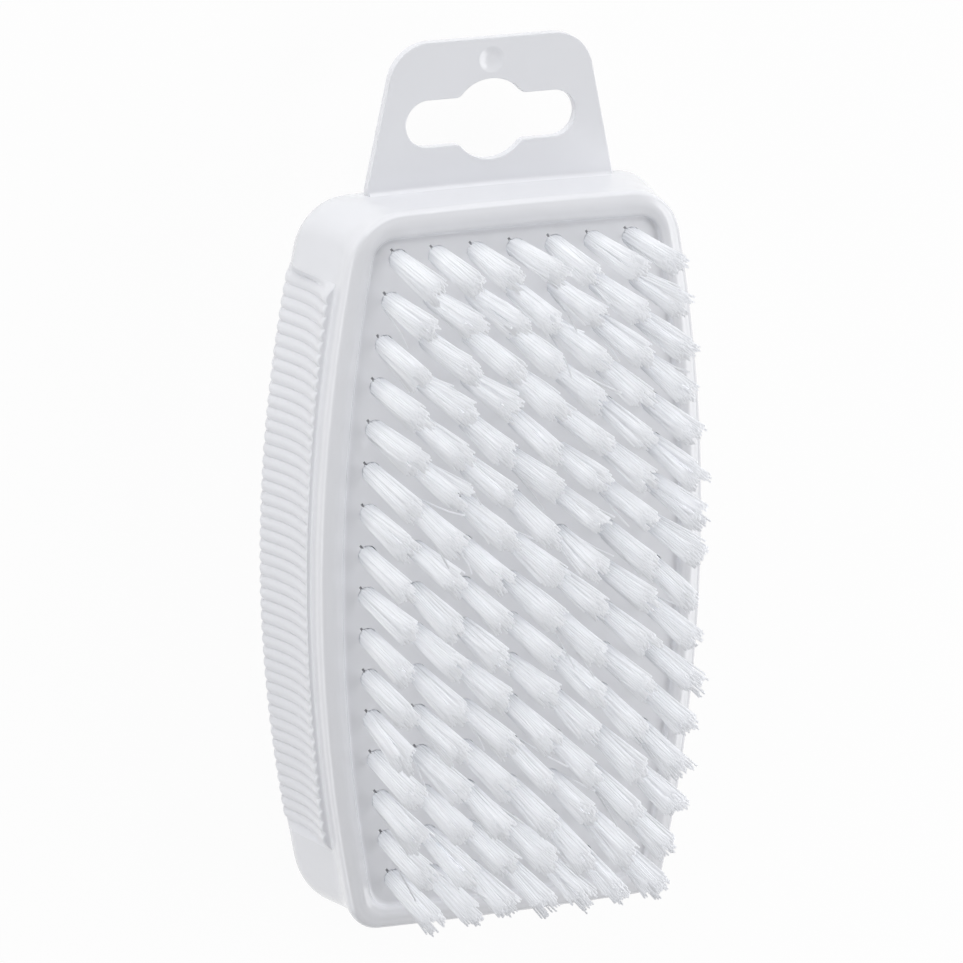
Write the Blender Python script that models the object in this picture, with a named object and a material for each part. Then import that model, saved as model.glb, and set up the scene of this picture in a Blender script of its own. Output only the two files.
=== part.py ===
"""Hand brush, lying on its back with the bristles up.

A moulded block carries a recessed bristle bed inside a rounded rim, two ribbed finger grips and a thin tab
to hang it by. X runs across the brush, +Y towards the tab and +Z along the bristles. The origin is the
middle of the flat back, and every length is in metres.
"""

import math

import bmesh
import bpy

# Driving dimensions of the whole brush
BRUSH_LENGTH = 0.0960
BRUSH_WIDTH = 0.0530
BODY_DEPTH = 0.0200
SIDE_BOW = 0.00526
END_BOW = 0.00045
TAB_END_CORNER = 0.0071
PLAIN_END_CORNER = 0.0042
CLEARANCE = 0.0003
OVERRUN = 0.0020

# The rim and the walls of the block
RIM_FILLET = 0.0009
RIM_WIDTH = 0.0030
FLANGE_THICKNESS = 0.0026
FLANGE_OVERHANG = 0.0005
FLANGE_SLOPE = 0.0003
SIDE_LEAN = math.radians(12.53)
SIDE_BACK_RADIUS = 0.00615
END_LEAN = math.radians(6.67)
END_BACK_RADIUS = 0.00707
TOE_RADIUS = 0.01326
TOE_CREST = 0.00078
TOE_BLEND = 0.00118
TOE_WALL_CORNER = 0.0059
PLAIN_WALL_CORNER = 0.0046
PLAIN_WALL_CORNER_GROWTH = 0.0040

# The bristle bed
BED_RECESS = 0.00125
BED_CORNER = 0.0030
SLICE_THICKNESS = 0.0015
ROW_COUNT = 16
COLUMN_COUNT = 7
ROW_END_MARGIN = 0.00375
TUFT_MARGIN = 0.0037

# The tufts, each drawn as a few thick strands
TUFT_LENGTH = 0.0142
STRANDS_ACROSS = 2
STRAND_ROOT_WIDTH = 0.00095
STRAND_TIP_WIDTH = 0.00125
STRAND_ROOT_SPACING = 0.00125
STRAND_TIP_SPACING = 0.0021
STRAND_ANCHORAGE = 0.0006
RAGGED_CUT = 0.0005
RAGGED_STEPS = (12.9, 7.3, 4.1)

# The finger grips: the depths are below the rim, the levels above the back
GRIP_FRONT_DEPTH = 0.0043
FRONT_RIDGE_DEPTH = 0.0047
BACK_RIDGE_LEVEL = 0.0047
BACK_SLOPE_LEVEL = 0.0035
GRIP_BACK_LEVEL = 0.0025
GRIP_SEAT = 0.0012
FRONT_BEVEL = 0.0002
FRONT_RIDGE_STAND = 0.0003
FRONT_RIDGE_RISE = 0.00045
BACK_RIDGE_STAND = 0.0005
BACK_SLOPE_STAND = 0.00027
BACK_RIDGE_FALL = 0.00065
COVE_DEPTH = 0.00075
RIB_PITCH = 0.0016
RIB_HEIGHT = 0.00035
GRIP_END_LAND = 0.0010
GRIP_END_MARGIN = 0.0102
GRIP_END_DROP = 0.0002

# The hang tab
TAB_DEPTH = 0.0095
TAB_THICKNESS = 0.0013
TAB_ROOT_WIDTH = 0.0334
TAB_TOP_WIDTH = 0.0257
TAB_HEIGHT = 0.0184
TAB_TONGUE = 0.0020
TAB_CORNER_RADIUS = 0.0054
SLOT_RISE = 0.0080
SLOT_LENGTH = 0.0234
SLOT_HEIGHT = 0.0063
SLOT_ROUND_DIAMETER = 0.0107
SLOT_BLEND_RADIUS = 0.0010
DIMPLE_RISE = 0.0157
DIMPLE_DIAMETER = 0.0038
DIMPLE_DEPTH = 0.0004

# Steps of the curved stretches
CORNER_PASSES = 8
CORNER_STEPS = 5
END_STEPS = 3
SIDE_STEPS = 14
FILLET_STEPS = 3
WALL_STEPS = 5
BACK_STEPS = 6
COVE_STEPS = 4
ARC_STEPS = 6
SHARP_ANGLE = math.radians(35)

HALF_LENGTH = BRUSH_LENGTH / 2
HALF_WIDTH = BRUSH_WIDTH / 2
BED_HEIGHT = BODY_DEPTH - BED_RECESS
ROW_PITCH = (BRUSH_LENGTH - 2 * RIM_WIDTH - 2 * ROW_END_MARGIN) / (ROW_COUNT - 1)
RIB_COUNT = round((BRUSH_LENGTH - 2 * GRIP_END_MARGIN - 2 * GRIP_END_LAND) / RIB_PITCH)
TAB_FRONT = BODY_DEPTH - TAB_DEPTH
BACK_RIDGE_DEPTH = BODY_DEPTH - BACK_RIDGE_LEVEL
BACK_SLOPE_DEPTH = BODY_DEPTH - BACK_SLOPE_LEVEL
GRIP_BACK_DEPTH = BODY_DEPTH - GRIP_BACK_LEVEL

WHITE_PLASTIC = (0.83, 0.84, 0.85, 1.0)
WHITE_ROUGHNESS = 0.35
GRIP_PLASTIC = (0.82, 0.83, 0.84, 1.0)
GRIP_ROUGHNESS = 0.5
BRISTLE_NYLON = (0.88, 0.91, 0.96, 1.0)
NYLON_ROUGHNESS = 0.4


# Scene, materials and mesh tools

def clear_scene():
    for item in list(bpy.data.objects):
        bpy.data.objects.remove(item, do_unlink=True)


def make_collection(name):
    collection = bpy.data.collections.new(name)
    bpy.context.scene.collection.children.link(collection)
    return collection


def plastic(name, colour, roughness):
    """Plain moulded plastic."""
    material = bpy.data.materials.new(name)
    material.use_nodes = True
    shader = material.node_tree.nodes["Principled BSDF"]
    shader.inputs["Base Color"].default_value = colour
    shader.inputs["Roughness"].default_value = roughness
    shader.inputs["Metallic"].default_value = 0.0
    material.diffuse_color = colour
    return material


def add_object(name, mesh, collection, material=None):
    item = bpy.data.objects.new(name, mesh)
    collection.objects.link(item)
    if material:
        mesh.materials.append(material)
    return item


def add_cutter(name, mesh, collection):
    item = add_object(name, mesh, collection)
    item.hide_render = True
    item.display_type = "WIRE"
    return item


def cut(item, cutter, operation="DIFFERENCE"):
    modifier = item.modifiers.new(cutter.name, "BOOLEAN")
    modifier.operation = operation
    modifier.solver = "EXACT"
    modifier.object = cutter


def shade(mesh):
    mesh.shade_smooth()
    mesh.set_sharp_from_angle(angle=SHARP_ANGLE)


def loft(name, rings):
    """Closed solid through rings of points, each ring with the same number of points."""
    build = bmesh.new()
    loops = [[build.verts.new(point) for point in ring] for ring in rings]
    for low, high in zip(loops, loops[1:]):
        for here in range(len(low)):
            after = (here + 1) % len(low)
            build.faces.new((low[here], low[after], high[after], high[here]))
    build.faces.new(loops[0])
    build.faces.new(loops[-1])
    bmesh.ops.recalc_face_normals(build, faces=build.faces)
    mesh = bpy.data.meshes.new(name)
    build.to_mesh(mesh)
    build.free()
    return mesh


def prism(name, outline, low, high):
    """Upright solid on a flat outline."""
    return loft(name, [[(x, y, height) for x, y in outline] for height in (low, high)])


def arc(centre, radius, start, end, steps):
    points = []
    for step in range(steps + 1):
        angle = start + (end - start) * step / steps
        points.append((centre[0] + radius * math.cos(angle), centre[1] + radius * math.sin(angle)))
    return points


# The plan of the brush: bowed sides, slightly bowed ends, round corners

def side_x(y):
    """Half width of the rim, at a place along the brush."""
    return HALF_WIDTH - SIDE_BOW * (y / HALF_LENGTH) ** 2


def end_y(x):
    """Half length of the rim, at a place across the brush."""
    return HALF_LENGTH - END_BOW * (x / HALF_WIDTH) ** 2


def quarter(side_offset, end_offset, radius):
    """From the middle of an end, round its corner, to where the bowed side starts."""
    low = 0.0
    high = math.pi / 2
    centre_x = side_x(HALF_LENGTH) + side_offset - radius
    centre_y = HALF_LENGTH + end_offset - radius
    for _ in range(CORNER_PASSES):
        touch_y = centre_y + radius * math.sin(low)
        touch_x = centre_x + radius * math.cos(high)
        low = math.atan(2 * SIDE_BOW * touch_y / HALF_LENGTH ** 2)
        high = math.pi / 2 - math.atan(2 * END_BOW * touch_x / HALF_WIDTH ** 2)
        centre_x = side_x(touch_y) + side_offset - radius * math.cos(low)
        centre_y = end_y(touch_x) + end_offset - radius * math.sin(high)
    corner = arc((centre_x, centre_y), radius, high, low, CORNER_STEPS)
    end = []
    for step in range(END_STEPS):
        x = corner[0][0] * step / END_STEPS
        end.append((x, end_y(x) + end_offset))
    return end + corner


def plan(side_offset, top_offset, bottom_offset, top_radius, bottom_radius):
    """The whole outline, clockwise from the middle of the tab end."""
    top = quarter(side_offset, top_offset, top_radius)
    bottom = [(x, -y) for x, y in quarter(side_offset, bottom_offset, bottom_radius)]
    side = []
    for step in range(1, SIDE_STEPS):
        y = top[-1][1] + (bottom[-1][1] - top[-1][1]) * step / SIDE_STEPS
        side.append((side_x(y) + side_offset, y))
    right = top + side + bottom[::-1]
    left = [(-x, y) for x, y in right[1:-1]]
    return right + left[::-1]


def bed_plan(inset):
    """The outline of the bristle bed, inset from the rim's by the same distance all round."""
    radius = BED_CORNER + RIM_WIDTH - inset
    return plan(-inset, -inset, -inset, radius, radius)


# The block

def flared_wall(depth, lean, back_radius):
    """How far a leaning wall with a round back edge stands outside the rim, at a depth below it."""
    wall_top = FLANGE_THICKNESS + FLANGE_SLOPE
    centre_depth = BODY_DEPTH - back_radius
    touch_depth = centre_depth - back_radius * math.sin(lean)
    straight = (min(depth, touch_depth) - wall_top) * math.tan(lean) - FLANGE_OVERHANG
    if depth <= touch_depth:
        return straight
    below = min(depth - centre_depth, back_radius)
    return straight - back_radius * math.cos(lean) + math.sqrt(back_radius ** 2 - below ** 2)


def side_wall(depth):
    return flared_wall(depth, SIDE_LEAN, SIDE_BACK_RADIUS)


def toe_offset(depth):
    """The same at the tab end: upright at first, then rolled off in one large round."""
    below = min(max(depth - BODY_DEPTH + TOE_RADIUS, 0.0), TOE_RADIUS)
    roll = TOE_CREST - TOE_RADIUS + math.sqrt(TOE_RADIUS ** 2 - below ** 2)
    nearness = max(1 - abs(roll + FLANGE_OVERHANG) / TOE_BLEND, 0.0)
    return min(roll, -FLANGE_OVERHANG) - TOE_BLEND * nearness ** 2 / 4


def rim_sections():
    """Depth, offsets and corner radii of the rim: its round edge and its plain side."""
    sections = []
    for step in range(FILLET_STEPS + 1):
        turn = math.pi / 2 * step / FILLET_STEPS
        sections.append((RIM_FILLET * (1 - math.cos(turn)), RIM_FILLET * (math.sin(turn) - 1)))
    sections.append((FLANGE_THICKNESS, 0.0))
    return [(depth, inset, inset, inset, TAB_END_CORNER + inset, PLAIN_END_CORNER + inset)
            for depth, inset in sections]


def wall_sections():
    """The same for the wall behind the rim, down to the flat back."""
    wall_top = FLANGE_THICKNESS + FLANGE_SLOPE
    back_start = BODY_DEPTH - SIDE_BACK_RADIUS
    depths = [wall_top + (back_start - wall_top) * step / WALL_STEPS for step in range(WALL_STEPS)]
    for step in range(BACK_STEPS + 1):
        depths.append(back_start + SIDE_BACK_RADIUS * math.sin(math.pi / 2 * step / BACK_STEPS))
    sections = []
    for depth in depths:
        side = side_wall(depth)
        end = flared_wall(depth, END_LEAN, END_BACK_RADIUS)
        corner = PLAIN_WALL_CORNER + PLAIN_WALL_CORNER_GROWTH * depth / BODY_DEPTH
        sections.append((depth, side, toe_offset(depth), end, TOE_WALL_CORNER, corner))
    return sections


def body_rings():
    """Sections of the block from the rim's flat down to the back."""
    rings = []
    for depth, *offsets_and_corners in rim_sections() + wall_sections():
        outline = plan(*offsets_and_corners)
        rings.append([(x, y, BODY_DEPTH - depth) for x, y in outline])
    return rings


def grip_section(side, y, points):
    """Points given as stand and depth, placed on one side at a place along the brush."""
    return [(side * (side_x(y) + stand), y, BODY_DEPTH - depth) for stand, depth in points]


def pocket_mesh(side):
    """The hollow in the wall that the grip sits in."""
    low = -GRIP_SEAT - CLEARANCE
    high = side_wall(BACK_RIDGE_DEPTH) + OVERRUN
    front = GRIP_FRONT_DEPTH - CLEARANCE
    back = GRIP_BACK_DEPTH + CLEARANCE
    points = [(low, front), (high, front), (high, back), (low, back)]
    half = grip_length() / 2 + CLEARANCE
    rings = []
    for step in range(SIDE_STEPS + 1):
        y = half * (2 * step / SIDE_STEPS - 1)
        rings.append(grip_section(side, y, points))
    return loft("grip_pocket", rings)


def make_body(parts, cutters, material):
    body = add_object("brush_body", loft("brush_body", body_rings()), parts, material)
    tray_floor = BED_HEIGHT - SLICE_THICKNESS - CLEARANCE
    tray = prism("bed_tray", bed_plan(RIM_WIDTH), tray_floor, BODY_DEPTH + OVERRUN)
    half_seat = TAB_ROOT_WIDTH / 2 + CLEARANCE
    seat_floor = HALF_LENGTH - TAB_TONGUE - CLEARANCE
    seat_outline = [(-half_seat, seat_floor), (half_seat, seat_floor),
                    (half_seat, HALF_LENGTH + OVERRUN), (-half_seat, HALF_LENGTH + OVERRUN)]
    tab_seat = prism("tab_seat", seat_outline, TAB_FRONT - TAB_THICKNESS - CLEARANCE,
                     TAB_FRONT + CLEARANCE)
    for mesh in (tray, pocket_mesh(-1), pocket_mesh(1), tab_seat):
        cut(body, add_cutter(mesh.name, mesh, cutters))
    shade(body.data)


# The grips

def grip_length():
    return RIB_COUNT * RIB_PITCH + 2 * GRIP_END_LAND


def grip_profile(lift, bend):
    """Section of a grip as stand and depth, its outer face raised by lift.

    Bend is 0 at mid-length and 1 at the last rib: the front ridge rises and the back one falls with it.
    """
    front = side_wall(FRONT_RIDGE_DEPTH) + FRONT_RIDGE_STAND + FRONT_RIDGE_RISE * bend + lift
    back = side_wall(BACK_RIDGE_DEPTH) + BACK_RIDGE_STAND - BACK_RIDGE_FALL * bend + lift
    slope = side_wall(BACK_SLOPE_DEPTH) + BACK_SLOPE_STAND - BACK_RIDGE_FALL * bend + lift
    outer = []
    for step in range(COVE_STEPS + 1):
        along = step / COVE_STEPS
        depth = FRONT_RIDGE_DEPTH + (BACK_RIDGE_DEPTH - FRONT_RIDGE_DEPTH) * along
        hollow = COVE_DEPTH * 4 * along * (1 - along)
        outer.append((front + (back - front) * along - hollow, depth))
    outer.append((slope, BACK_SLOPE_DEPTH))
    inner = [(side_wall(GRIP_BACK_DEPTH), GRIP_BACK_DEPTH), (-GRIP_SEAT, GRIP_BACK_DEPTH),
             (-GRIP_SEAT, GRIP_FRONT_DEPTH), (front - FRONT_BEVEL, GRIP_FRONT_DEPTH)]
    return outer + inner


def make_grip(name, side, parts, material):
    """A strip of sawtooth ribs that follows the bowed side, with a plain sloped land at each end."""
    half_ribbed = RIB_COUNT * RIB_PITCH / 2
    stations = [(-half_ribbed - GRIP_END_LAND, -GRIP_END_DROP)]
    for step in range(2 * RIB_COUNT + 1):
        lift = RIB_HEIGHT if step % 2 else 0.0
        stations.append((step * RIB_PITCH / 2 - half_ribbed, lift))
    stations.append((half_ribbed + GRIP_END_LAND, -GRIP_END_DROP))
    rings = []
    for y, lift in stations:
        rings.append(grip_section(side, y, grip_profile(lift, (y / half_ribbed) ** 2)))
    grip = add_object(name, loft(name, rings), parts, material)
    shade(grip.data)


# The hang tab

def rounded_top_outline():
    """Trapezoid with round upper corners, and a straight tongue below the root line."""
    half_root = TAB_ROOT_WIDTH / 2
    half_top = TAB_TOP_WIDTH / 2
    top = HALF_LENGTH + TAB_HEIGHT
    lean = math.atan((half_root - half_top) / TAB_HEIGHT)
    reach = TAB_CORNER_RADIUS * math.tan((math.pi / 2 - lean) / 2)
    centre = (half_top - reach, top - TAB_CORNER_RADIUS)
    right = [(half_root, HALF_LENGTH - TAB_TONGUE), (half_root, HALF_LENGTH)]
    right += arc(centre, TAB_CORNER_RADIUS, lean, math.pi / 2, ARC_STEPS)
    left = [(-x, y) for x, y in right]
    return right + left[::-1]


def slot_outline():
    """A long slot with a round middle, its inner corners blended."""
    height = SLOT_HEIGHT / 2
    round_radius = SLOT_ROUND_DIAMETER / 2
    end_x = SLOT_LENGTH / 2 - height
    blend_y = height + SLOT_BLEND_RADIUS
    blend_x = math.sqrt((round_radius + SLOT_BLEND_RADIUS) ** 2 - blend_y ** 2)
    meet = math.atan2(blend_y, blend_x)
    upper = arc((end_x, 0.0), height, 0.0, math.pi / 2, ARC_STEPS)
    upper += arc((blend_x, blend_y), SLOT_BLEND_RADIUS, -math.pi / 2, meet - math.pi, ARC_STEPS // 2)
    upper += arc((0.0, 0.0), round_radius, meet, math.pi / 2, ARC_STEPS // 2)[1:]
    left = [(-x, y) for x, y in upper[:-1]]
    half = upper + left[::-1]
    lower = [(x, -y) for x, y in half[1:-1]]
    centre_y = HALF_LENGTH + SLOT_RISE
    return [(x, y + centre_y) for x, y in half + lower[::-1]]


def flat_plate(name, outlines, thickness):
    """Flat plate from closed outlines, the later ones being holes."""
    curve = bpy.data.curves.new(name, "CURVE")
    curve.dimensions = "2D"
    curve.fill_mode = "BOTH"
    curve.extrude = thickness / 2
    for outline in outlines:
        spline = curve.splines.new("POLY")
        spline.points.add(len(outline) - 1)
        spline.use_cyclic_u = True
        for point, (x, y) in zip(spline.points, outline):
            point.co = (x, y, 0.0, 1.0)
    return curve


def mesh_from_curve(name, curve, collection):
    """Turns a curve into a welded mesh, and removes the curve."""
    guide = bpy.data.objects.new(name + "_guide", curve)
    collection.objects.link(guide)
    bpy.context.view_layer.update()
    evaluated = guide.evaluated_get(bpy.context.evaluated_depsgraph_get())
    mesh = bpy.data.meshes.new_from_object(evaluated)
    mesh.name = name
    weld = bmesh.new()
    weld.from_mesh(mesh)
    bmesh.ops.remove_doubles(weld, verts=weld.verts, dist=CLEARANCE / 10)
    bmesh.ops.recalc_face_normals(weld, faces=weld.faces)
    weld.to_mesh(mesh)
    weld.free()
    mesh.materials.clear()
    place = guide.matrix_world.copy()
    bpy.data.objects.remove(guide, do_unlink=True)
    return mesh, place


def dimple_mesh():
    radius = ((DIMPLE_DIAMETER / 2) ** 2 + DIMPLE_DEPTH ** 2) / (2 * DIMPLE_DEPTH)
    build = bmesh.new()
    bmesh.ops.create_uvsphere(build, u_segments=4 * ARC_STEPS, v_segments=4 * ARC_STEPS, radius=radius)
    mesh = bpy.data.meshes.new("tab_dimple")
    build.to_mesh(mesh)
    build.free()
    return mesh, radius


def make_tab(parts, cutters, material):
    curve = flat_plate("hang_tab", [rounded_top_outline(), slot_outline()], TAB_THICKNESS)
    mesh, place = mesh_from_curve("hang_tab", curve, cutters)
    tab = add_object("hang_tab", mesh, parts, material)
    tab.matrix_world = place
    tab.location.z = TAB_FRONT - TAB_THICKNESS / 2
    ball, radius = dimple_mesh()
    dimple = add_cutter("tab_dimple", ball, cutters)
    dimple.location = (0.0, HALF_LENGTH + DIMPLE_RISE, TAB_FRONT - DIMPLE_DEPTH + radius)
    cut(tab, dimple)
    shade(tab.data)


# The bristle rows

def clip(outline, level, above):
    """The part of an outline above or below a level of y."""
    kept = []
    for here, after in zip(outline, outline[1:] + outline[:1]):
        inside = (here[1] >= level) == above
        if inside:
            kept.append(here)
        if inside != ((after[1] >= level) == above):
            along = (level - here[1]) / (after[1] - here[1])
            kept.append((here[0] + (after[0] - here[0]) * along, level))
    return kept


def row_y(row):
    """Place of a row along the brush, counted from the tab end."""
    return ROW_PITCH * ((ROW_COUNT - 1) / 2 - row)


def slice_outline(row):
    """One row's strip of the bed; the first and last reach the ends of the bed."""
    outline = bed_plan(RIM_WIDTH + CLEARANCE)
    half_strip = (ROW_PITCH - CLEARANCE) / 2
    if row > 0:
        outline = clip(outline, row_y(row) + half_strip, False)
    if row < ROW_COUNT - 1:
        outline = clip(outline, row_y(row) - half_strip, True)
    return outline


def tuft_x(row, column):
    """Place of a tuft across the brush: each row is spread evenly inside the bowed bed."""
    half_field = side_x(row_y(row)) - RIM_WIDTH - TUFT_MARGIN
    return half_field * (2 * column / (COLUMN_COUNT - 1) - 1)


def add_strand(build, root, tip):
    """One tapered strand with four sides, from its root square to its tip square."""
    loops = []
    for (x, y, z), width in ((root, STRAND_ROOT_WIDTH), (tip, STRAND_TIP_WIDTH)):
        half = width / 2
        corners = ((-half, -half), (half, -half), (half, half), (-half, half))
        loops.append([build.verts.new((x + across, y + along, z)) for across, along in corners])
    low, high = loops
    build.faces.new(low[::-1])
    build.faces.new(high)
    for here in range(len(low)):
        after = (here + 1) % len(low)
        build.faces.new((low[here], low[after], high[after], high[here]))


def ragged(row, column, strand):
    """A strand's own cut, a fixed uneven pattern from -1 to 1."""
    row_step, column_step, strand_step = RAGGED_STEPS
    return math.sin(row * row_step + column * column_step + strand * strand_step)


def strands_mesh(name, row):
    """All strands of one row, fanning out inside each tuft."""
    build = bmesh.new()
    middle = (STRANDS_ACROSS - 1) / 2
    for column in range(COLUMN_COUNT):
        centre_x = tuft_x(row, column)
        for strand in range(STRANDS_ACROSS ** 2):
            across = strand % STRANDS_ACROSS - middle
            along = strand // STRANDS_ACROSS - middle
            root = (centre_x + across * STRAND_ROOT_SPACING,
                    row_y(row) + along * STRAND_ROOT_SPACING, BED_HEIGHT - STRAND_ANCHORAGE)
            length = TUFT_LENGTH + RAGGED_CUT * ragged(row, column, strand)
            tip = (centre_x + across * STRAND_TIP_SPACING,
                   row_y(row) + along * STRAND_TIP_SPACING, BED_HEIGHT + length)
            add_strand(build, root, tip)
    mesh = bpy.data.meshes.new(name)
    build.to_mesh(mesh)
    build.free()
    return mesh


def make_row(row, parts, cutters, material):
    name = f"tuft_row_{row + 1:02d}"
    strip = prism(name, slice_outline(row), BED_HEIGHT - SLICE_THICKNESS, BED_HEIGHT)
    item = add_object(name, strip, parts, material)
    strands = add_cutter(name + "_strands", strands_mesh(name + "_strands", row), cutters)
    cut(item, strands, "UNION")


def main():
    clear_scene()
    parts = make_collection("hand_brush")
    cutters = make_collection("cutters")
    make_body(parts, cutters, plastic("white_plastic", WHITE_PLASTIC, WHITE_ROUGHNESS))
    make_tab(parts, cutters, plastic("tab_plastic", WHITE_PLASTIC, WHITE_ROUGHNESS))
    grip_material = plastic("grip_plastic", GRIP_PLASTIC, GRIP_ROUGHNESS)
    make_grip("left_grip", -1, parts, grip_material)
    make_grip("right_grip", 1, parts, grip_material)
    nylon = plastic("bristle_nylon", BRISTLE_NYLON, NYLON_ROUGHNESS)
    for row in range(ROW_COUNT):
        make_row(row, parts, cutters, nylon)


main()
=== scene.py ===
import math
import random

import bmesh
import bpy
from mathutils import Matrix, Vector


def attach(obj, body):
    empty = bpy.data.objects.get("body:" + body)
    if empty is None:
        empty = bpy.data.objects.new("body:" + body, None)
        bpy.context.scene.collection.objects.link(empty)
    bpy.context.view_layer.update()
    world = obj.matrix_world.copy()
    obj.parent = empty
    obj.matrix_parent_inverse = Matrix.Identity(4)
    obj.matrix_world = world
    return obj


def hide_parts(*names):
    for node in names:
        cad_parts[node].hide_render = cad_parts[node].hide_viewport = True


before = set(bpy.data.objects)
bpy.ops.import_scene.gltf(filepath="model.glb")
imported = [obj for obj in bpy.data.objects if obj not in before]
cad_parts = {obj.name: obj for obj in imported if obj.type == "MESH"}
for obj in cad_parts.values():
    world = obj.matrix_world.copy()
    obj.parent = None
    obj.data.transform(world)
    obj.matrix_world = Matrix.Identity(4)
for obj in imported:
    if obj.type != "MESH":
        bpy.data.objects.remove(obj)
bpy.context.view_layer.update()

# Moulded block.
# One piece of white polypropylene: a rounded rim round the bristle bed, walls that ease out from under the
# rim and lean outwards to the back, and a tab end that rolls off. It is moulded, so every edge is round.

brush_length = 0.0960
brush_width = 0.0530
block_depth = 0.0200
side_bow = 0.00526
end_bow = 0.00045
half_length = brush_length / 2
half_width = brush_width / 2


def rim_half_width(y):
    return half_width - side_bow * (y / half_length) ** 2


def rim_half_length(x):
    return half_length - end_bow * (x / half_width) ** 2


def round_corner(side_offset, end_offset, radius, corner_steps=14, end_steps=10, fitting_rounds=8):
    """Quarter of an outline, from the middle of an end to where the bowed side starts. The places where the
    round corner touches the bowed end and side are found by a few rounds of fitting."""
    low, high = 0.0, math.pi / 2
    centre_x = rim_half_width(half_length) + side_offset - radius
    centre_y = half_length + end_offset - radius
    for _ in range(fitting_rounds):
        touch_y = centre_y + radius * math.sin(low)
        touch_x = centre_x + radius * math.cos(high)
        low = math.atan(2 * side_bow * touch_y / half_length ** 2)
        high = math.pi / 2 - math.atan(2 * end_bow * touch_x / half_width ** 2)
        centre_x = rim_half_width(touch_y) + side_offset - radius * math.cos(low)
        centre_y = rim_half_length(touch_x) + end_offset - radius * math.sin(high)
    corner = []
    for step in range(corner_steps + 1):
        turn = high + (low - high) * step / corner_steps
        corner.append((centre_x + radius * math.cos(turn), centre_y + radius * math.sin(turn)))
    end = []
    for step in range(end_steps):
        x = corner[0][0] * step / end_steps
        end.append((x, rim_half_length(x) + end_offset))
    return end + corner


def brush_outline(side_offset, tab_offset, plain_offset, tab_corner, plain_corner, side_steps=48):
    """Closed outline of the brush, clockwise from the middle of the tab end."""
    top = round_corner(side_offset, tab_offset, tab_corner)
    bottom = [(x, -y) for x, y in round_corner(side_offset, plain_offset, plain_corner)]
    side = []
    for step in range(1, side_steps):
        y = top[-1][1] + (bottom[-1][1] - top[-1][1]) * step / side_steps
        side.append((rim_half_width(y) + side_offset, y))
    right = top + side + bottom[::-1]
    return right + [(-x, y) for x, y in right[1:-1]][::-1]


def skin(name, rings):
    """Smooth closed mesh through rings of points, with a face across the first and the last ring."""
    build = bmesh.new()
    loops = [[build.verts.new(point) for point in ring] for ring in rings]
    for low_ring, high_ring in zip(loops, loops[1:]):
        for here in range(len(low_ring)):
            after = (here + 1) % len(low_ring)
            build.faces.new((low_ring[here], low_ring[after], high_ring[after], high_ring[here]))
    build.faces.new(loops[0])
    build.faces.new(loops[-1])
    bmesh.ops.recalc_face_normals(build, faces=build.faces)
    mesh = bpy.data.meshes.new(name)
    build.to_mesh(mesh)
    build.free()
    return mesh


def stand_in_scene(name, mesh, finish, sharp_degrees=40):
    """Puts a mesh in the scene, smooth but for its sharp edges, with large flat faces kept flat."""
    piece = bpy.data.objects.new(name, mesh)
    bpy.context.scene.collection.objects.link(piece)
    mesh.materials.clear()
    mesh.materials.append(finish)
    mesh.shade_smooth()
    mesh.set_sharp_from_angle(angle=math.radians(sharp_degrees))
    flatten = piece.modifiers.new("flat_faces_stay_flat", "WEIGHTED_NORMAL")
    flatten.keep_sharp = True
    return piece


def new_finish(name):
    """New material, with its nodes, its links and its main shader."""
    finish = bpy.data.materials.new(name)
    finish.use_nodes = True
    tree = finish.node_tree
    return finish, tree.nodes, tree.links, tree.nodes["Principled BSDF"]


def noise_on_object(nodes, links, place, scale, detail=2.0):
    """Noise that stays with the object; it gives a share from 0 to 1."""
    noise = nodes.new("ShaderNodeTexNoise")
    noise.inputs["Scale"].default_value = scale
    noise.inputs["Detail"].default_value = detail
    links.new(place, noise.inputs["Vector"])
    return noise.outputs["Fac"]


def tint_between(nodes, links, share, low, high):
    """Colour between a low and a high one, by a share from another node."""
    tint = nodes.new("ShaderNodeMix")
    tint.data_type = "RGBA"
    tint.inputs["A"].default_value = (*low, 1.0)
    tint.inputs["B"].default_value = (*high, 1.0)
    links.new(share, tint.inputs["Factor"])
    return tint.outputs["Result"]


plastic_white = (0.800, 0.808, 0.840)
plastic_shade = (0.786, 0.795, 0.830)
plastic_index = 1.5
cloud_scale, cloud_detail = 90.0, 3.0
cloud_low, cloud_high = 0.3, 0.7
gloss_spread = 0.03
grain_strength, grain_depth = 0.35, 0.00002


def moulded_plastic(name, gloss, grain_size):
    """White moulded plastic: faint cloudiness in the colour, uneven gloss and the mould's fine grain."""
    finish, nodes, links, shader = new_finish(name)
    place = nodes.new("ShaderNodeTexCoord").outputs["Object"]
    cloud = noise_on_object(nodes, links, place, cloud_scale, cloud_detail)
    links.new(tint_between(nodes, links, cloud, plastic_shade, plastic_white), shader.inputs["Base Color"])
    wear = nodes.new("ShaderNodeMapRange")
    wear.inputs["From Min"].default_value = cloud_low
    wear.inputs["From Max"].default_value = cloud_high
    wear.inputs["To Min"].default_value = gloss - gloss_spread
    wear.inputs["To Max"].default_value = gloss + gloss_spread
    links.new(cloud, wear.inputs["Value"])
    links.new(wear.outputs["Result"], shader.inputs["Roughness"])
    bump = nodes.new("ShaderNodeBump")
    bump.inputs["Strength"].default_value = grain_strength
    bump.inputs["Distance"].default_value = grain_depth
    links.new(noise_on_object(nodes, links, place, 1.0 / grain_size), bump.inputs["Height"])
    links.new(bump.outputs["Normal"], shader.inputs["Normal"])
    shader.inputs["IOR"].default_value = plastic_index
    return finish


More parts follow.
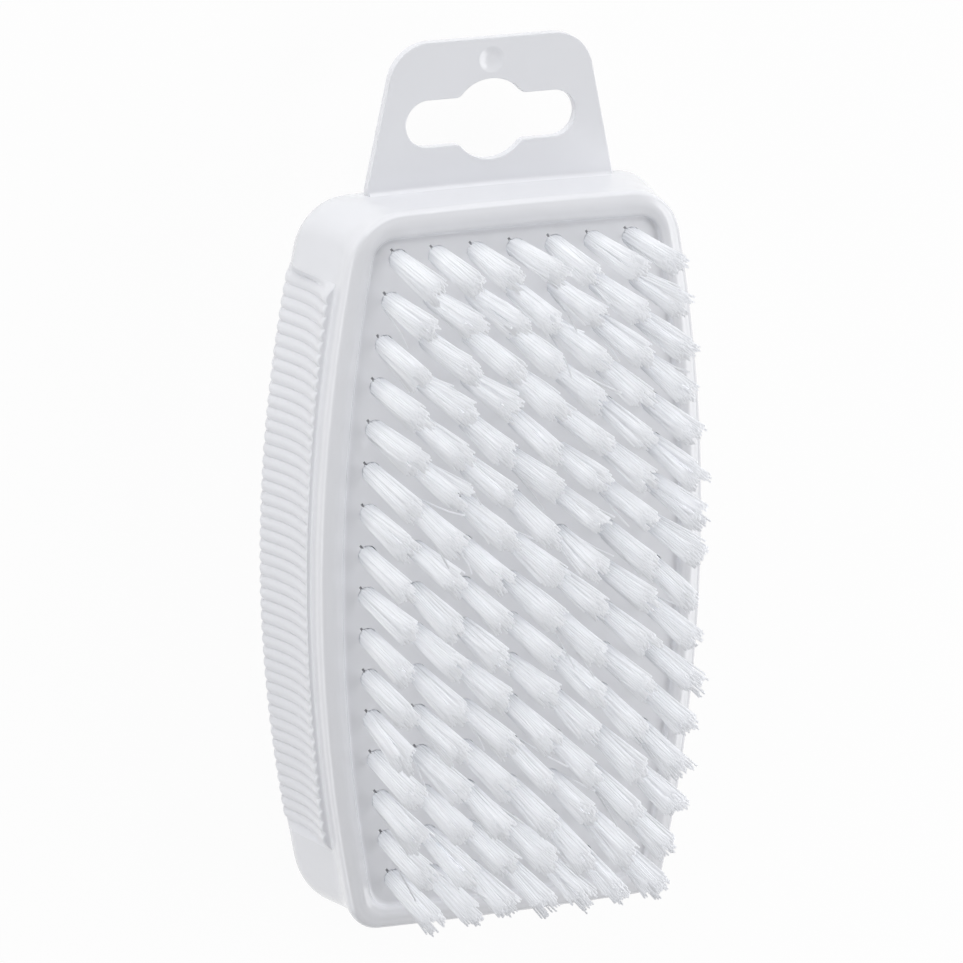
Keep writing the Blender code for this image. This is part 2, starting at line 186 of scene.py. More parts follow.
rim_edge_round = 0.00125
lip_round = 0.00060
rim_crown = 0.00014
tab_corner_round = 0.0071
plain_corner_round = 0.0042
bed_corner_round = 0.0030
bed_drop = 0.00100
bed_cove = 0.00050
tab_edge_inset = 0.00050
tab_edge_round = 0.00055
lip_inset_side = 0.00300
lip_inset_tab = 0.00385
lip_inset_plain = 0.00300
lip_straightening = 0.00030
tray_depth = 0.0040


def rim_ring(depth, inset):
    """Outline of the rim at an inset from its outer edge, evened out to the bed's own insets and corners."""
    share = max(inset - rim_edge_round, 0.0) / (lip_inset_side - rim_edge_round)
    near = min(inset, rim_edge_round)
    near_tab = tab_edge_inset + near * tab_edge_round / rim_edge_round
    tab_inset = near_tab + share * (lip_inset_tab - tab_edge_inset - tab_edge_round)
    plain_inset = near + share * (lip_inset_plain - rim_edge_round)
    tab_corner = tab_corner_round - near + share * (bed_corner_round - tab_corner_round + rim_edge_round)
    plain_corner = plain_corner_round - near
    plain_corner += share * (bed_corner_round - plain_corner_round + rim_edge_round)
    outline = brush_outline(-inset, -tab_inset, -plain_inset, tab_corner, plain_corner)
    squeeze = share * lip_straightening / half_width
    return [(x * (1 - squeeze * (1 - (y / half_length) ** 2)), y, block_depth - depth) for x, y in outline]


cove_steps, lip_steps, crown_steps, edge_steps = 6, 5, 6, 8

rings = [rim_ring(tray_depth, lip_inset_side + bed_cove)]
for step in range(cove_steps + 1):
    turn = math.pi / 2 * step / cove_steps
    sink = bed_drop + (rim_crown + lip_round - bed_drop) * (1 - math.cos(turn))
    rings.append(rim_ring(sink, lip_inset_side + bed_cove * (1 - math.sin(turn))))
for step in range(1, lip_steps + 1):
    turn = math.pi / 2 * step / lip_steps
    inset = lip_inset_side - lip_round * (1 - math.cos(turn))
    rings.append(rim_ring(rim_crown + lip_round * (1 - math.sin(turn)), inset))
crown_start, crown_end = lip_inset_side - lip_round, rim_edge_round
for step in range(1, crown_steps):
    along = step / crown_steps
    height = 4 * along * (1 - along)
    rings.append(rim_ring(rim_crown * (1 - height), crown_start + (crown_end - crown_start) * along))
for step in range(edge_steps + 1):
    turn = math.pi / 2 * step / edge_steps
    drop = rim_crown + (rim_edge_round - rim_crown) * (1 - math.cos(turn))
    rings.append(rim_ring(drop, rim_edge_round * (1 - math.sin(turn))))

wall_top = 0.0029
rim_overhang = 0.0005
side_lean, side_back_round = math.radians(12.53), 0.00615
plain_lean, plain_back_round = math.radians(6.67), 0.00707
roll_round, roll_crest, roll_blend = 0.01326, 0.00078, 0.00118
tab_wall_corner = 0.0059
plain_wall_corner, plain_wall_corner_growth = 0.0046, 0.0040
ease_start, ease_end = 0.0014, 0.0060
ease_steps, lean_steps, back_steps = 15, 13, 16


def leaning_wall(depth, lean, back_round):
    """How far a leaning wall with a round back edge stands outside the rim at a depth below it."""
    centre = block_depth - back_round
    touch = centre - back_round * math.sin(lean)
    straight = (min(depth, touch) - wall_top) * math.tan(lean) - rim_overhang
    if depth <= touch:
        return straight
    below = min(depth - centre, back_round)
    return straight - back_round * math.cos(lean) + math.sqrt(back_round ** 2 - below ** 2)


def rolled_end(depth):
    """The same at the tab end: upright at first, then rolled off in one large round."""
    below = min(max(depth - block_depth + roll_round, 0.0), roll_round)
    roll = roll_crest - roll_round + math.sqrt(roll_round ** 2 - below ** 2)
    nearness = max(1 - abs(roll + rim_overhang) / roll_blend, 0.0)
    return min(roll, -rim_overhang) - roll_blend * nearness ** 2 / 4


def wall_ring(depth):
    """Outline of the wall; under the rim it eases from the rim's side to the wall in a soft curve."""
    along = min(max((depth - ease_start) / (ease_end - ease_start), 0.0), 1.0)
    ease = along * along * (3 - 2 * along)
    plain_corner = plain_wall_corner + plain_wall_corner_growth * depth / block_depth
    outline = brush_outline(leaning_wall(depth, side_lean, side_back_round) * ease,
                            rolled_end(depth) * ease - tab_edge_inset * (1 - ease),
                            leaning_wall(depth, plain_lean, plain_back_round) * ease,
                            tab_corner_round + (tab_wall_corner - tab_corner_round) * ease,
                            plain_corner_round + (plain_corner - plain_corner_round) * ease)
    return [(x, y, block_depth - depth) for x, y in outline]


depths = [ease_start + (ease_end - ease_start) * step / ease_steps for step in range(ease_steps + 1)]
back_start = block_depth - side_back_round
for step in range(1, lean_steps + 1):
    depths.append(ease_end + (back_start - ease_end) * step / lean_steps)
for step in range(1, back_steps + 1):
    depths.append(back_start + side_back_round * math.sin(math.pi / 2 * step / back_steps))
rings += [wall_ring(depth) for depth in depths]

block_gloss, block_grain = 0.16, 0.0011
white_plastic = moulded_plastic("white_moulded_plastic", block_gloss, block_grain)
block = stand_in_scene("moulded_block", skin("moulded_block", rings), white_plastic)
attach(block, "root")
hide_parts("brush_body")

# Bristle bed.
# The floor inside the rim, moulded with the block, with 112 drilled holes in 16 rows of 7. Each hole's edge
# is slightly broken, and nicked on two sides where the end of the flat anchor wire is driven in.

row_count = 16
tufts_per_row = 7
row_pitch = 0.0055
tuft_margin = 0.0067
hole_radius = 0.00134
hole_edge_break = 0.00007
half_hole_steps = 12
bed_height = block_depth - bed_drop
bed_thickness = 0.0024
bed_lap = 0.00012
weld_distance = 0.000004
nick_turn = math.radians(127)
nick_width = 0.00042
nick_reach = 0.00178


def row_place(row):
    return row_pitch * ((row_count - 1) / 2 - row)


def tuft_place(row, column):
    spread = rim_half_width(row_place(row)) - tuft_margin
    return spread * (2 * column / (tufts_per_row - 1) - 1)


def drilled_hole(centre_x, centre_y):
    """Round hole with a small nick on two opposite sides."""
    half_nick = math.asin(nick_width / 2 / hole_radius)
    reach = math.hypot(nick_reach, nick_width / 2)
    outer_half = math.atan2(nick_width / 2, nick_reach)
    points = []
    for side in (0, 1):
        middle = nick_turn + math.pi * side
        points += [(reach, middle - outer_half), (reach, middle + outer_half)]
        for step in range(half_hole_steps + 1):
            turn = middle + half_nick + (math.pi - 2 * half_nick) * step / half_hole_steps
            points.append((hole_radius, turn))
    return [(centre_x + r * math.cos(turn), centre_y + r * math.sin(turn)) for r, turn in points]


def sheet_with_holes(name, outlines, thickness, edge_break):
    """Flat sheet from closed outlines, the later ones being holes, with its edges broken."""
    curve = bpy.data.curves.new(name, "CURVE")
    curve.dimensions = "2D"
    curve.fill_mode = "BOTH"
    curve.extrude = thickness / 2 - edge_break
    curve.bevel_depth = edge_break
    curve.bevel_resolution = 1
    for outline in outlines:
        spline = curve.splines.new("POLY")
        spline.points.add(len(outline) - 1)
        spline.use_cyclic_u = True
        for point, (x, y) in zip(spline.points, outline):
            point.co = (x, y, 0.0, 1.0)
    guide = bpy.data.objects.new(name + "_guide", curve)
    bpy.context.scene.collection.objects.link(guide)
    bpy.context.view_layer.update()
    mesh = bpy.data.meshes.new_from_object(guide.evaluated_get(bpy.context.evaluated_depsgraph_get()))
    bpy.data.objects.remove(guide, do_unlink=True)
    weld = bmesh.new()
    weld.from_mesh(mesh)
    bmesh.ops.remove_doubles(weld, verts=weld.verts, dist=weld_distance)
    bmesh.ops.recalc_face_normals(weld, faces=weld.faces)
    weld.to_mesh(mesh)
    weld.free()
    mesh.name = name
    return mesh


bed_edge = rim_ring(bed_drop, lip_inset_side + bed_cove - bed_lap)
outlines = [[(x, y) for x, y, z in bed_edge]]
for row in range(row_count):
    for column in range(tufts_per_row):
        outlines.append(drilled_hole(tuft_place(row, column), row_place(row)))
bed_mesh = sheet_with_holes("bristle_bed", outlines, bed_thickness, hole_edge_break)
bed_mesh.transform(Matrix.Translation((0.0, 0.0, bed_height - bed_thickness / 2)))
bed = stand_in_scene("bristle_bed", bed_mesh, white_plastic, sharp_degrees=20)
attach(bed, "root")

# Finger grips.
# A band of 46 rounded ribs along each side, hollowed lengthwise for the fingertips. The same plastic as the
# block, moulded with it and slightly duller; each band fades into the wall at its ends.

rib_count = 46
rib_pitch = 0.0016
rib_height = 0.00035
rib_fullness = 0.8
steps_per_rib = 8
ramp_steps = 4
half_ribbed = rib_count * rib_pitch / 2
grip_fade = 0.0010
grip_root = 0.0012
front_face_depth = 0.0042
front_foot_round = 0.00045
front_ridge_round, front_ridge_run = 0.0004, 0.0005
least_rise = 0.00001
front_ridge_depth, front_ridge_stand, front_ridge_rise = 0.0047, 0.0002, 0.00045
back_ridge_depth, back_ridge_stand, back_ridge_fall = 0.0153, 0.0021, 0.00065
back_ridge_round, back_ridge_tuck = 0.0004, 0.00004
back_slope_bow, back_slope_landing = 1.7, 0.8
cove_depth = 0.00075
ridge_steps, hollow_steps, slope_steps = 4, 12, 8
grip_back_depth = 0.0176
grip_lap = 0.00002
recess_margin, recess_end_margin = 0.0002, 0.00003
recess_reach = 0.0040
recess_steps = 40


def press_in(piece, cutter, sharp_degrees=40):
    """Cuts a shape out of a piece, before its flat faces are kept flat, and removes the cutter."""
    press = piece.modifiers.new(cutter.name, "BOOLEAN")
    press.operation = "DIFFERENCE"
    press.solver = "EXACT"
    press.object = cutter
    piece.modifiers.move(len(piece.modifiers) - 1, 0)
    with bpy.context.temp_override(object=piece, active_object=piece, selected_objects=[piece]):
        bpy.ops.object.modifier_apply(modifier=press.name)
    bpy.data.objects.remove(cutter, do_unlink=True)
    piece.data.set_sharp_from_angle(angle=math.radians(sharp_degrees))


def grip_section(bend, lift):
    """Section of a grip as stand and depth: front face, front ridge, cove, back ridge and back slope."""
    front = front_ridge_stand + front_ridge_rise * bend
    back = back_ridge_stand - back_ridge_fall * bend
    points = []
    for step in range(ridge_steps + 1):
        turn = math.pi / 2 * step / ridge_steps
        depth = front_face_depth - front_foot_round * (1 - math.sin(turn))
        foot = leaning_wall(depth, side_lean, side_back_round) + grip_lap
        points.append((foot + front_foot_round * (1 - math.cos(turn)), depth))
    foot_end = points[-1][0]
    for step in range(ridge_steps):
        turn = math.pi / 2 * step / ridge_steps
        stand = front - front_ridge_round + front_ridge_round * math.sin(turn) + lift
        points.append((max(stand, foot_end + least_rise * (step + 1)),
                       front_face_depth + front_ridge_run * (1 - math.cos(turn))))
    for step in range(hollow_steps + 1):
        along = step / hollow_steps
        depth = front_ridge_depth + (back_ridge_depth - back_ridge_round - front_ridge_depth) * along
        hollow = cove_depth * 4 * along * (1 - along)
        points.append((front + (back - back_ridge_tuck - front) * along - hollow + lift, depth))
    for step in range(1, slope_steps + 1):
        along = step / slope_steps
        depth = back_ridge_depth - back_ridge_round
        depth += (grip_back_depth - back_ridge_depth + back_ridge_round) * along
        foot = leaning_wall(depth, side_lean, side_back_round) + grip_lap
        fall = (back - foot) * along ** back_slope_bow
        least_stand = foot if along > back_slope_landing else 0.0
        points.append((max(back - fall + lift * (1 - along ** 3), least_stand), depth))
    return points


def grip_rings(side):
    """Sections along a grip; beyond the last rib they ramp to the wall's own surface."""
    rings = []
    for step in range(-ramp_steps, rib_count * steps_per_rib + ramp_steps + 1):
        rib_turn = min(max(step / steps_per_rib, 0.0), rib_count)
        beyond = max(-step, step - rib_count * steps_per_rib, 0) / ramp_steps
        y = (rib_turn - rib_count / 2) * rib_pitch
        y += math.copysign(grip_fade * beyond, y)
        lift = rib_height * abs(math.sin(math.pi * rib_turn)) ** rib_fullness
        ease = beyond * beyond * (3 - 2 * beyond)
        ring = []
        for stand, depth in grip_section((min(abs(y), half_ribbed) / half_ribbed) ** 2, lift):
            wall = leaning_wall(depth, side_lean, side_back_round) + grip_lap
            ring.append((side * (rim_half_width(y) + stand + (wall - stand) * ease), y, block_depth - depth))
        root = side * (rim_half_width(y) - grip_root)
        ring.append((root, y, block_depth - grip_back_depth))
        ring.insert(0, (root, y, block_depth - front_face_depth + front_foot_round))
        rings.append(ring)
    return rings


def grip_recess(side):
    """The hollow in the block's wall that a grip lies in, a little smaller than the grip all round."""
    low, high = -grip_root + recess_margin, recess_reach
    front, back = front_face_depth + recess_margin, grip_back_depth - recess_margin
    corners = [(low, front), (high, front), (high, back), (low, back)]
    half_cut = half_ribbed + grip_fade - recess_end_margin
    rings = []
    for step in range(recess_steps + 1):
        y = half_cut * (2 * step / recess_steps - 1)
        edge = rim_half_width(y)
        rings.append([(side * (edge + stand), y, block_depth - depth) for stand, depth in corners])
    return skin("grip_recess", rings)


grip_gloss, grip_grain = 0.34, 0.0008
grip_plastic = moulded_plastic("satin_grip_plastic", grip_gloss, grip_grain)
for side, name, node in ((-1, "left_finger_grip", "left_grip"), (1, "right_finger_grip", "right_grip")):
    grip = stand_in_scene(name, skin(name, grip_rings(side)), grip_plastic, sharp_degrees=50)
    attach(grip, "root")
    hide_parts(node)
    recess = bpy.data.objects.new(name + "_recess", grip_recess(side))
    bpy.context.scene.collection.objects.link(recess)
    press_in(block, recess)

# Hang tab.
# A thin tapered tab moulded on the tab end, for a display hook. A long slot with a round middle goes right
# through it, and a shallow round dimple marks the moulding gate near its top.

tab_front = 0.0105
tab_thickness = 0.0013
tab_edge_break = 0.00012
tab_root_width = 0.0334
tab_top_width = 0.0257
tab_height = 0.0184
tab_tongue = 0.0020
tab_corner = 0.0054
tab_corner_steps = 14
slot_rise = 0.0080
slot_length = 0.0234
slot_height = 0.0063
slot_round = 0.0107
slot_blend = 0.0010
slot_end_steps, slot_blend_steps, slot_middle_steps = 14, 6, 10
dimple_rise = 0.0157
dimple_radius = 0.0020
dimple_depth = 0.00026
dimple_rings, dimple_sides = 14, 48
dimple_brim, dimple_softness = 13.4, 1.6
dimple_rise_at_brim = 0.000012
cutter_height = 0.0005
root_round = 0.0006
root_round_steps, root_slices = 12, 24


def arc_points(centre_x, centre_y, radius, start, end, steps):
    points = []
    for step in range(steps + 1):
        turn = start + (end - start) * step / steps
        points.append((centre_x + radius * math.cos(turn), centre_y + radius * math.sin(turn)))
    return points


def tab_outline():
    half_root, half_top = tab_root_width / 2, tab_top_width / 2
    top = half_length + tab_height
    lean = math.atan((half_root - half_top) / tab_height)
    reach = tab_corner * math.tan((math.pi / 2 - lean) / 2)
    right = [(half_root, half_length - tab_tongue), (half_root, half_length)]
    right += arc_points(half_top - reach, top - tab_corner, tab_corner, lean, math.pi / 2, tab_corner_steps)
    return right + [(-x, y) for x, y in right][::-1]


def hook_slot():
    height, middle = slot_height / 2, slot_round / 2
    blend_y = height + slot_blend
    blend_x = math.sqrt((middle + slot_blend) ** 2 - blend_y ** 2)
    meet = math.atan2(blend_y, blend_x)
    upper = arc_points(slot_length / 2 - height, 0.0, height, 0.0, math.pi / 2, slot_end_steps)
    upper += arc_points(blend_x, blend_y, slot_blend, -math.pi / 2, meet - math.pi, slot_blend_steps)
    upper += arc_points(0.0, 0.0, middle, meet, math.pi / 2, slot_middle_steps)[1:]
    half = upper + [(-x, y) for x, y in upper[:-1]][::-1]
    whole = half + [(x, -y) for x, y in half[1:-1]][::-1]
    return [(x, y + half_length + slot_rise) for x, y in whole]


def dimple_cutter():
    """Turned cutter: a shallow dish that eases into the tab's face, so that the dimple has a soft edge."""
    rings = []
    for step in range(1, dimple_rings + 1):
        radius = dimple_radius * step / dimple_rings
        outwards = min(step / dimple_brim, 1.0) ** dimple_softness
        height = -dimple_depth * (0.5 + 0.5 * math.cos(math.pi * outwards))
        level = tab_front + height + dimple_rise_at_brim * step / dimple_rings
        circle = arc_points(0.0, half_length + dimple_rise, radius, 0.0, 2 * math.pi, dimple_sides)[:-1]
        rings.append([(x, y, level) for x, y in circle])
    rings.append([(x, y, z + cutter_height) for x, y, z in rings[-1]])
    return skin("dimple_cutter", rings)


tab_mesh = sheet_with_holes("hang_tab_plate", [tab_outline(), hook_slot()], tab_thickness, tab_edge_break)
tab_mesh.transform(Matrix.Translation((0.0, 0.0, tab_front - tab_thickness / 2)))
tab = stand_in_scene("hook_tab", tab_mesh, white_plastic)
cutter = bpy.data.objects.new("dimple_cutter", dimple_cutter())
bpy.context.scene.collection.objects.link(cutter)
press_in(tab, cutter, sharp_degrees=20)
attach(tab, "root")
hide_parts("hang_tab")


def root_fillet_ring(x):
    """Section of the hollow round between the tab's face and the end wall, seen from the side."""
    wall = rim_half_length(x) + rolled_end(block_depth - tab_front - root_round)
    inside = tab_front - tab_thickness / 2
    ring = [(x, wall - root_round, inside), (x, wall - root_round, tab_front + root_round)]
    for step in range(root_round_steps + 1):
        turn = math.pi / 2 * step / root_round_steps
        out = root_round * (1 - math.cos(turn))
        rise = root_round * (1 - math.sin(turn))
        ring.append((x, wall + out, tab_front + rise))
    ring.append((x, wall + root_round, inside))
    return ring


half_fillet = tab_root_width / 2 - tab_edge_break
rings = [root_fillet_ring(half_fillet * (2 * step / root_slices - 1)) for step in range(root_slices + 1)]
fillet = stand_in_scene("tab_root_fillet", skin("tab_root_fillet", rings), white_plastic)
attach(fillet, "root")

# Anchor wires.
# Each tuft is folded round a short piece of flat tinned wire and punched into its hole; only the wire's two
# ends show, as dark nicks at the foot of the tuft.

anchor_length = 0.0034
anchor_thickness = 0.00034
anchor_height = 0.0014
anchor_sink = 0.00022
anchor_edge_break = 0.00006
wire_shade, wire_light = (0.22, 0.22, 0.23), (0.42, 0.42, 0.43)
wire_spot_scale = 2500.0
wire_roughness = 0.45

anchors = bmesh.new()
for row in range(row_count):
    for column in range(tufts_per_row):
        place = Matrix.Translation((tuft_place(row, column), row_place(row),
                                    bed_height - anchor_sink - anchor_height / 2))
        size = Matrix.Diagonal((anchor_length, anchor_thickness, anchor_height, 1.0))
        bmesh.ops.create_cube(anchors, size=1.0, matrix=place @ Matrix.Rotation(nick_turn, 4, "Z") @ size)
bmesh.ops.bevel(anchors, geom=anchors.edges[:], offset=anchor_edge_break, segments=1, affect="EDGES")
anchor_mesh = bpy.data.meshes.new("anchor_wires")
anchors.to_mesh(anchor_mesh)
anchors.free()

tinned_wire, nodes, links, shader = new_finish("tinned_wire")
place = nodes.new("ShaderNodeTexCoord").outputs["Object"]
spots = noise_on_object(nodes, links, place, wire_spot_scale)
links.new(tint_between(nodes, links, spots, wire_shade, wire_light), shader.inputs["Base Color"])
shader.inputs["Metallic"].default_value = 1.0
shader.inputs["Roughness"].default_value = wire_roughness
wires = stand_in_scene("anchor_wires", anchor_mesh, tinned_wire)
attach(wires, "root")

# Bristle rows.
# Each hole holds a bundle of straight bluish white nylon filaments, with painted shade that greys them
# towards the foot. The bundles lean a little towards the plain end, spread out in a few clumps and are
# trimmed in place, unevenly.

filaments_per_tuft = 90
filament_radius = 0.000125
filament_thinnest, filament_thickest = 0.85, 1.1
filament_bow = ((0.0, 0.0), (0.35, 0.7), (0.7, 1.0), (1.0, 0.0))
tuft_radius = 0.00120
tip_spread = 1.36
bristle_length = 0.0137
longest_bristle = 0.0149
root_depth = 0.0012
clumps_per_tuft = 9
clump_reach = 0.66
golden_turn = 2.39996
first_row_lean = Vector((-0.00015, -0.00040, 0.0))
last_row_lean = Vector((-0.00040, -0.00080, 0.0))
tuft_lean_scatter, tuft_length_scatter = 0.00030, 0.00015
clump_scatter, clump_length_scatter = 0.00025, 0.00050
tip_scatter, tip_length_scatter = 0.00009, 0.00020
bow_scatter = 0.00006
stray_share, stray_from = 0.016, 0.8
stray_nearest, stray_farthest = 0.0008, 0.0024
stray_drop, stray_bow = 0.004, 0.0004
bundle_roundness = 0.55
bundle_evenness, tip_evenness = 0.55, 0.5
chance = random.Random(5)

filament_sides = [Vector((math.cos(turn), math.sin(turn), 0.0))
                  for turn in (math.pi / 4, 3 * math.pi / 4, 5 * math.pi / 4, 7 * math.pi / 4)]


def add_filament(build, normals, root, tip, sway, radius, outwards):
    """One four-sided filament with a slight bow. Its normals lean to the round surface of the whole bundle
    and upwards, so that the light falls on the bundle as on one soft body."""
    loops = []
    for along, side in filament_bow:
        centre = root.lerp(tip, along) + sway * side
        loops.append([build.verts.new(centre + offset * radius) for offset in filament_sides])
        lift = Vector((0.0, 0.0, 1.0)) * (bundle_evenness + (tip_evenness if along == 1.0 else 0.0))
        normals += [(offset.lerp(outwards, bundle_roundness) + lift).normalized()
                    for offset in filament_sides]
    for low_ring, high_ring in zip(loops, loops[1:]):
        for here in range(4):
            after = (here + 1) % 4
            build.faces.new((low_ring[here], low_ring[after], high_ring[after], high_ring[here]))
    build.faces.new(loops[0][::-1])
    build.faces.new(loops[-1])


def row_lean(row):
    """How far a row's tips stand off from above their feet, from the first row's lean to the last one's."""
    return first_row_lean.lerp(last_row_lean, row / (row_count - 1))


def add_tuft(build, normals, row, column):
    """A bundle laid out like the seeds of a sunflower, spread and trimmed at the top in uneven clumps."""
    foot = Vector((tuft_place(row, column), row_place(row), bed_height - root_depth))
    lean = row_lean(row)
    lean += Vector((chance.gauss(0, tuft_lean_scatter), chance.gauss(0, tuft_lean_scatter), 0.0))
    height = bristle_length + chance.gauss(0, tuft_length_scatter)
    start = chance.uniform(0, 2 * math.pi)
    clumps = []
    for number in range(clumps_per_tuft):
        turn = start + 2 * math.pi * number / (clumps_per_tuft - 1)
        middle = Vector((math.cos(turn), math.sin(turn), 0.0)) * (clump_reach if number else 0.0)
        drift = Vector((chance.gauss(0, clump_scatter), chance.gauss(0, clump_scatter),
                        chance.gauss(0, clump_length_scatter)))
        clumps.append((middle, drift))
    for number in range(filaments_per_tuft):
        reach = math.sqrt((number + 0.5) / filaments_per_tuft)
        turn = start + number * golden_turn
        out = Vector((math.cos(turn), math.sin(turn), 0.0)) * reach
        middle, drift = min(clumps, key=lambda clump: (clump[0] - out).length)
        jitter = Vector((chance.gauss(0, tip_scatter), chance.gauss(0, tip_scatter),
                         chance.gauss(0, tip_length_scatter)))
        rise = Vector((0.0, 0.0, height + root_depth))
        tip = foot + out * tuft_radius * tip_spread + lean + drift + jitter + rise
        sway = Vector((chance.gauss(0, bow_scatter), chance.gauss(0, bow_scatter), 0.0))
        if chance.random() < stray_share and reach > stray_from:
            tip += out * chance.uniform(stray_nearest, stray_farthest)
            tip.z -= chance.uniform(0.0, stray_drop)
            sway -= out * chance.uniform(0.0, stray_bow)
        tip.z = min(tip.z, bed_height + longest_bristle)
        outwards = (out + Vector((0.0, 0.0, math.sqrt(1 - reach ** 2)))).normalized()
        radius = filament_radius * chance.uniform(filament_thinnest, filament_thickest)
        add_filament(build, normals, foot + out * tuft_radius, tip, sway, radius, outwards)


nylon_shade, nylon_white = (0.90, 0.92, 0.975), (0.95, 0.965, 1.0)
# Painted shade: this grey is the filaments' colour near the bed, standing in for the shade the tufts would
# cast there.
nylon_painted_foot_shade = (0.72, 0.74, 0.79)
painted_shade_start, painted_shade_end = bed_height - 0.0010, bed_height + 0.0060
streak_scale, streak_squeeze = 2600.0, 0.06
nylon_roughness, nylon_index = 0.3, 1.53

nylon, nodes, links, shader = new_finish("bluish_nylon")
place = nodes.new("ShaderNodeTexCoord").outputs["Object"]
stretch = nodes.new("ShaderNodeMapping")
stretch.inputs["Scale"].default_value = (1.0, 1.0, streak_squeeze)
links.new(place, stretch.inputs["Vector"])
streaks = noise_on_object(nodes, links, stretch.outputs["Vector"], streak_scale, 1.0)
place_parts = nodes.new("ShaderNodeSeparateXYZ")
links.new(place, place_parts.inputs[0])
# Share of the painted shade by height: full at the foot of the tufts, gone a few millimetres above the bed.
painted_shade_fade = nodes.new("ShaderNodeMapRange")
painted_shade_fade.interpolation_type = "SMOOTHSTEP"
painted_shade_fade.inputs["From Min"].default_value = painted_shade_start
painted_shade_fade.inputs["From Max"].default_value = painted_shade_end
links.new(place_parts.outputs["Z"], painted_shade_fade.inputs["Value"])
streak_tint = tint_between(nodes, links, streaks, nylon_shade, nylon_white)
# Painted shade at the foot of each tuft, fading upwards into the streaked nylon colour.
painted_foot_shade_tint = tint_between(nodes, links, painted_shade_fade.outputs["Result"], nylon_painted_foot_shade, nylon_white)
links.new(streak_tint, painted_foot_shade_tint.node.inputs["B"])
links.new(painted_foot_shade_tint, shader.inputs["Base Color"])
shader.inputs["Roughness"].default_value = nylon_roughness
shader.inputs["IOR"].default_value = nylon_index

for row in range(row_count):
    tufts, normals = bmesh.new(), []
    for column in range(tufts_per_row):
        add_tuft(tufts, normals, row, column)
    name = f"bristles_row_{row + 1:02d}"
    mesh = bpy.data.meshes.new(name)
    tufts.to_mesh(mesh)
    tufts.free()
    mesh.shade_smooth()
    mesh.normals_split_custom_set_from_vertices(normals)
    bristles = bpy.data.objects.new(name, mesh)
    bpy.context.scene.collection.objects.link(bristles)
    mesh.materials.append(nylon)
    bristles.visible_shadow = False
    bristles.visible_diffuse = False
    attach(bristles, "root")
    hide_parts(f"tuft_row_{row + 1:02d}")

# Bristle cores.
# The innermost filaments of each tuft, a little shorter than the rest. In this scene the other filaments let
# all light pass, as clear nylon nearly does; these hold back a part of it, so that the tufts shade the bed.

core_filaments = 3
core_radius = 0.00060
core_length = 0.0128

cores = bmesh.new()
for row in range(row_count):
    for column in range(tufts_per_row):
        foot = Vector((tuft_place(row, column), row_place(row), bed_height - root_depth))
        for number in range(core_filaments):
            turn = number * golden_turn
            out = Vector((math.cos(turn), math.sin(turn), 0.0)) * math.sqrt((number + 0.5) / core_filaments)
            rise = Vector((0.0, 0.0, core_length + root_depth))
            tip = foot + out * core_radius * tip_spread + row_lean(row) + rise
            add_filament(cores, [], foot + out * core_radius, tip, Vector(), filament_radius, out)
core_mesh = bpy.data.meshes.new("bristle_cores")
cores.to_mesh(core_mesh)
cores.free()
core_mesh.materials.append(nylon)
core_object = bpy.data.objects.new("bristle_cores", core_mesh)
bpy.context.scene.collection.objects.link(core_object)
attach(core_object, "root")

# Studio.
# A white floor that the brush lies on, a plain white surround, four soft lamps round the brush, each far
# larger than it, and the camera in front of the bristles, to the left and a little above.

floor_reach = 3.0
floor_grey, floor_roughness = (0.80, 0.80, 0.80), 0.9
floor_glow = 0.95
surround_strength = 0.16

floor_mesh = bpy.data.meshes.new("studio_floor")
floor_build = bmesh.new()
bmesh.ops.create_grid(floor_build, x_segments=1, y_segments=1, size=floor_reach)
floor_build.to_mesh(floor_mesh)
floor_build.free()
floor = bpy.data.objects.new("studio_floor", floor_mesh)
bpy.context.scene.collection.objects.link(floor)
floor_paint, nodes, links, shader = new_finish("floor_white")
shader.inputs["Base Color"].default_value = (*floor_grey, 1.0)
shader.inputs["Roughness"].default_value = floor_roughness
glow = nodes.new("ShaderNodeEmission")
glow.inputs["Strength"].default_value = 1.0
rays = nodes.new("ShaderNodeLightPath")
seen = rays.outputs["Is Camera Ray"]
for ray in ("Is Glossy Ray", "Is Transmission Ray"):
    either = nodes.new("ShaderNodeMath")
    either.operation = "MAXIMUM"
    links.new(seen, either.inputs[0])
    links.new(rays.outputs[ray], either.inputs[1])
    seen = either.outputs[0]
glow_share = nodes.new("ShaderNodeMath")
glow_share.operation = "MULTIPLY"
glow_share.inputs[1].default_value = floor_glow
links.new(seen, glow_share.inputs[0])
paint_or_glow = nodes.new("ShaderNodeMixShader")
links.new(glow_share.outputs[0], paint_or_glow.inputs["Fac"])
links.new(shader.outputs[0], paint_or_glow.inputs[1])
links.new(glow.outputs[0], paint_or_glow.inputs[2])
links.new(paint_or_glow.outputs[0], nodes["Material Output"].inputs["Surface"])
floor_mesh.materials.append(floor_paint)

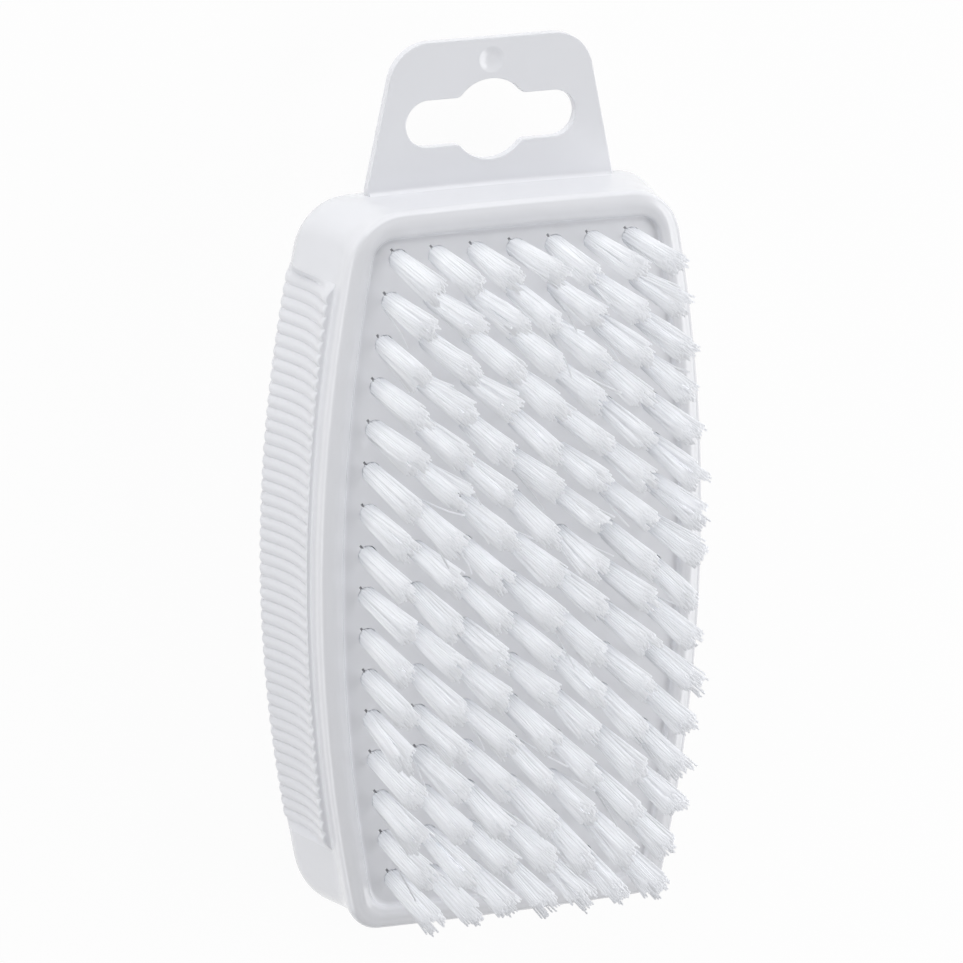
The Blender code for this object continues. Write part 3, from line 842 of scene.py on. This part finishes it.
surround = bpy.data.worlds.new("white_surround")
bpy.context.scene.world = surround
surround.use_nodes = True
background = surround.node_tree.nodes["Background"]
background.inputs["Color"].default_value = (1.0, 1.0, 1.0, 1.0)
background.inputs["Strength"].default_value = surround_strength

lamp_aim = Vector((0.0, 0.0, block_depth))


def soft_lamp(name, place, width, height, power):
    """Large soft lamp aimed at the middle of the brush."""
    light = bpy.data.lights.new(name, "AREA")
    light.shape = "RECTANGLE"
    light.size = width
    light.size_y = height
    light.energy = power
    lamp = bpy.data.objects.new(name, light)
    bpy.context.scene.collection.objects.link(lamp)
    lamp.location = place
    lamp.rotation_euler = (lamp_aim - Vector(place)).to_track_quat("-Z", "Y").to_euler()


soft_lamp("tab_end_lamp", (-0.11, 0.60, 0.29), 0.8, 0.4, 3.6)
soft_lamp("left_lamp", (-0.68, -0.24, 0.20), 0.8, 0.3, 2.5)
soft_lamp("right_lamp", (0.36, -0.03, 0.27), 0.36, 0.26, 1.16)
soft_lamp("foot_lamp", (0.20, -0.70, 0.40), 0.8, 0.5, 0.7)

view_turn = math.radians(22.6)
view_rise = math.radians(16.9)
view_roll = math.radians(0.67)
view_distance = 0.900
aim_left, aim_up = 0.00423, 0.01025
focal_length_mm = 263.55
towards = Vector((-math.sin(view_turn) * math.cos(view_rise), math.sin(view_rise),
                  math.cos(view_turn) * math.cos(view_rise)))
level = (-towards).cross(Vector((0.0, 1.0, 0.0))).normalized()
upright = level.cross(-towards)
across = math.cos(view_roll) * level + math.sin(view_roll) * upright
up = math.cos(view_roll) * upright - math.sin(view_roll) * level
lens = bpy.data.cameras.new("photo_camera")
lens.sensor_width = 36.0
lens.lens = focal_length_mm
lens.clip_start = 0.05
camera = bpy.data.objects.new("photo_camera", lens)
bpy.context.scene.collection.objects.link(camera)
spot = Vector((0.0, 0.0, block_depth)) - aim_left * across + aim_up * up + towards * view_distance
axes = Matrix((across, up, towards)).transposed().to_4x4()
camera.matrix_world = Matrix.Translation(spot) @ axes
bpy.context.scene.camera = camera
bpy.context.scene.view_settings.view_transform = "Standard"
